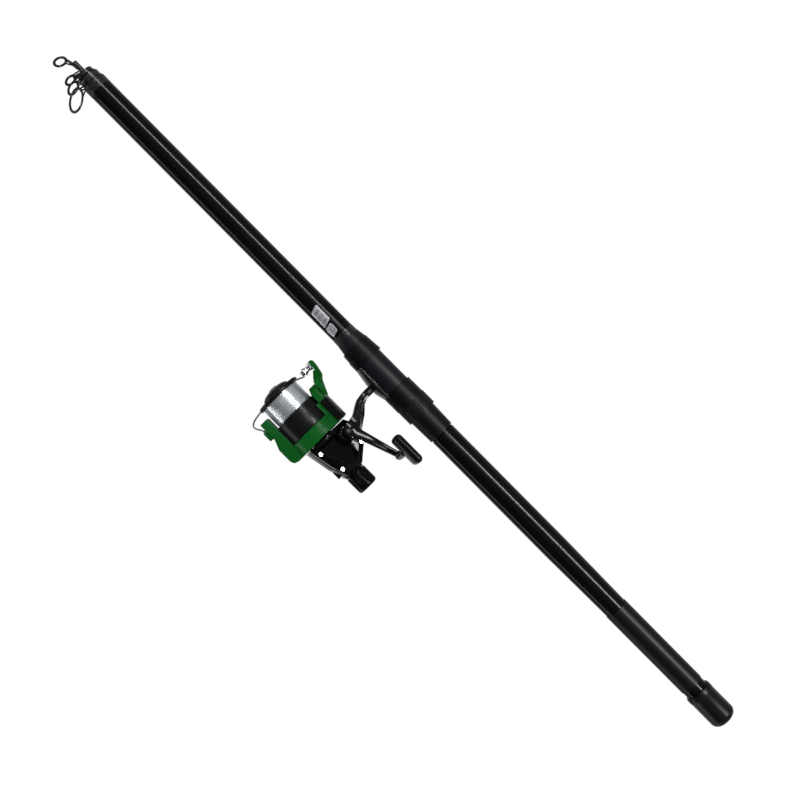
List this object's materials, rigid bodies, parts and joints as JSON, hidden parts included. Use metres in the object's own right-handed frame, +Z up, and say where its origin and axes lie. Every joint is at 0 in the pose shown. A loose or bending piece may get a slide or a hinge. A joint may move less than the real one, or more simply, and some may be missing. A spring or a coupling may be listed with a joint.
{
  "type": "telescopic fishing rod with spinning reel",
  "caption": "Collapsed telescopic fishing rod with a screw-down reel seat and a rear drag spinning reel, its bail, spool and handle working.",
  "frame": {"origin": "on the rod's axis, 24 mm in front of the butt cap's end face, inside the cap's straight wall", "axes": "+X along the rod towards the butt, so the tip points to -X; +Z up with the reel hanging below the rod; the handle is on the -Y side"},
  "size_m": [1.1756, 0.1661, 0.1826],
  "materials": {
    "blank": "gloss",
    "grip": "matte",
    "cap": "satin",
    "seat": "satin",
    "hood": "matte",
    "body": "gloss",
    "rotor_green": "gloss",
    "spool_black": "gloss",
    "line": "satin",
    "frame_black": "gloss",
    "ring": "polished",
    "ring_insert": "polished",
    "wire": "polished",
    "steel": "brushed",
    "button": "satin",
    "gear": "cast",
    "brass": "satin",
    "washer_fibre": "matte",
    "nylon": "matte",
    "alloy": "satin",
    "pad": "matte",
    "knob": "satin"
  },
  "bodies": {
    "rod_and_reel_body": {"butt_tube": "blank", "butt_sleeve": "grip", "butt_cap": "cap", "butt_plug": "alloy", "rattle_pad": "pad", "seat_tube": "seat", "seat_fixed_hood": "hood", "reel_body": "body", "side_cover": "body", "cover_screws": "steel", "drive_bearings": "steel", "pinion_bearing": "steel", "guide_rail": "steel", "drag_eared_washers": "washer_fibre", "drag_spring": "steel"},
    "section_2": {"section_2": "blank", "guide_2_frame": "frame_black", "guide_2_ring": "ring_insert"},
    "section_3": {"section_3": "blank", "guide_3_frame": "frame_black", "guide_3_ring": "ring_insert"},
    "tip": {"tip_section": "blank", "float_guide_frame": "frame_black", "float_guide_ring": "ring_insert", "tip_guide_frame": "frame_black", "tip_guide_ring": "ring_insert"},
    "hood": {"seat_sliding_hood": "hood"},
    "nut": {"seat_nut": "hood"},
    "crank": {"drive_gear": "gear", "handle_arm": "body", "handle_cap": "body", "knob_pin": "steel"},
    "knob": {"handle_knob": "knob"},
    "rotor": {"pinion": "brass", "ratchet": "steel", "rotor": "rotor_green", "rotor_nut": "steel", "arm_covers": "body", "bail_spring": "steel"},
    "bail": {"bail_arm": "rotor_green", "bail_wire": "wire", "bail_hub": "rotor_green", "bail_pins": "steel"},
    "roller": {"line_roller": "ring"},
    "osc_gear": {"osc_gear": "gear"},
    "slider": {"osc_slider": "nylon"},
    "shaft": {"main_shaft": "steel", "spool": "spool_black", "line_winding": "line", "button_spring": "steel"},
    "button": {"release_button": "button"},
    "keyed_washers": {"drag_keyed_washers": "steel"},
    "drag_knob": {"drag_knob": "body"},
    "plunger": {"drag_plunger": "alloy"},
    "reverse_lever": {"reverse_lever": "body"},
    "pawl": {"reverse_pawl": "steel"}
  },
  "joints": [
    {"name": "section_2_slide", "type": "slide", "parent": "rod_and_reel_body", "child": "section_2", "axis": [-1, 0, 0], "range_m": [0, 1.014]},
    {"name": "section_3_slide", "type": "slide", "parent": "section_2", "child": "section_3", "axis": [-1, 0, 0], "range_m": [0, 1.025]},
    {"name": "tip_slide", "type": "slide", "parent": "section_3", "child": "tip", "axis": [-1, 0, 0], "range_m": [0, 1.031]},
    {"name": "hood_slide", "type": "slide", "parent": "rod_and_reel_body", "child": "hood", "axis": [1, 0, 0], "range_m": [0, 0.012]},
    {"name": "nut_turn", "type": "hinge", "parent": "hood", "child": "nut", "pos_m": [-0.5265, 0, 0], "axis": [1, 0, 0], "range_deg": [0, 1080]},
    {"name": "handle_turn", "type": "hinge", "parent": "rod_and_reel_body", "child": "crank", "pos_m": [-0.564, 0, -0.098], "axis": [0, -1, 0], "continuous": true},
    {"name": "knob_spin", "type": "hinge", "parent": "crank", "child": "knob", "pos_m": [-0.50123, -0.074, -0.0776], "axis": [0, -1, 0], "continuous": true},
    {"name": "rotor_spin", "type": "hinge", "parent": "rod_and_reel_body", "child": "rotor", "pos_m": [-0.6, 0, -0.115], "axis": [-1, 0, 0], "continuous": true},
    {"name": "bail_flip", "type": "hinge", "parent": "rotor", "child": "bail", "pos_m": [-0.629, -0.01298, -0.07506], "axis": [0, -0.309, 0.9511], "range_deg": [0, 95]},
    {"name": "roller_spin", "type": "hinge", "parent": "bail", "child": "roller", "pos_m": [-0.6552, 0.00193, -0.06527], "axis": [0, -0.309, 0.9511], "continuous": true},
    {"name": "osc_gear_spin", "type": "hinge", "parent": "rod_and_reel_body", "child": "osc_gear", "pos_m": [-0.55, -0.0095, -0.113], "axis": [0, -1, 0], "continuous": true},
    {"name": "spool_stroke", "type": "slide", "parent": "rod_and_reel_body", "child": "slider", "axis": [-1, 0, 0], "range_m": [0, 0.012]},
    {"name": "spool_spin", "type": "hinge", "parent": "slider", "child": "shaft", "pos_m": [-0.6, 0, -0.115], "axis": [-1, 0, 0], "continuous": true},
    {"name": "button_press", "type": "slide", "parent": "shaft", "child": "button", "axis": [1, 0, 0], "range_m": [0, 0.0015]},
    {"name": "washers_spin", "type": "hinge", "parent": "rod_and_reel_body", "child": "keyed_washers", "pos_m": [-0.528, 0, -0.115], "axis": [-1, 0, 0], "continuous": true},
    {"name": "drag_knob_turn", "type": "hinge", "parent": "rod_and_reel_body", "child": "drag_knob", "pos_m": [-0.51, 0, -0.115], "axis": [1, 0, 0], "range_deg": [0, 720]},
    {"name": "plunger_slide", "type": "slide", "parent": "rod_and_reel_body", "child": "plunger", "axis": [1, 0, 0], "range_m": [0, 0.002]},
    {"name": "reverse_lever_turn", "type": "hinge", "parent": "rod_and_reel_body", "child": "reverse_lever", "pos_m": [-0.564, 0.014, -0.1305], "axis": [-1, 0, 0], "range_deg": [0, 60]},
    {"name": "pawl_turn", "type": "hinge", "parent": "rod_and_reel_body", "child": "pawl", "pos_m": [-0.597, 0.0185, -0.117], "axis": [-1, 0, 0], "range_deg": [0, 12]}
  ],
  "couplings": [
    {"joint": "hood_slide", "follows": "nut_turn", "m_per_rad": 0.00063662},
    {"joint": "rotor_spin", "follows": "handle_turn", "ratio": 5},
    {"joint": "osc_gear_spin", "follows": "handle_turn", "ratio": -0.66667},
    {"joint": "washers_spin", "follows": "spool_spin", "ratio": 1},
    {"joint": "plunger_slide", "follows": "drag_knob_turn", "m_per_rad": 0.00015915},
    {"joint": "pawl_turn", "follows": "reverse_lever_turn", "ratio": 0.2}
  ]
}
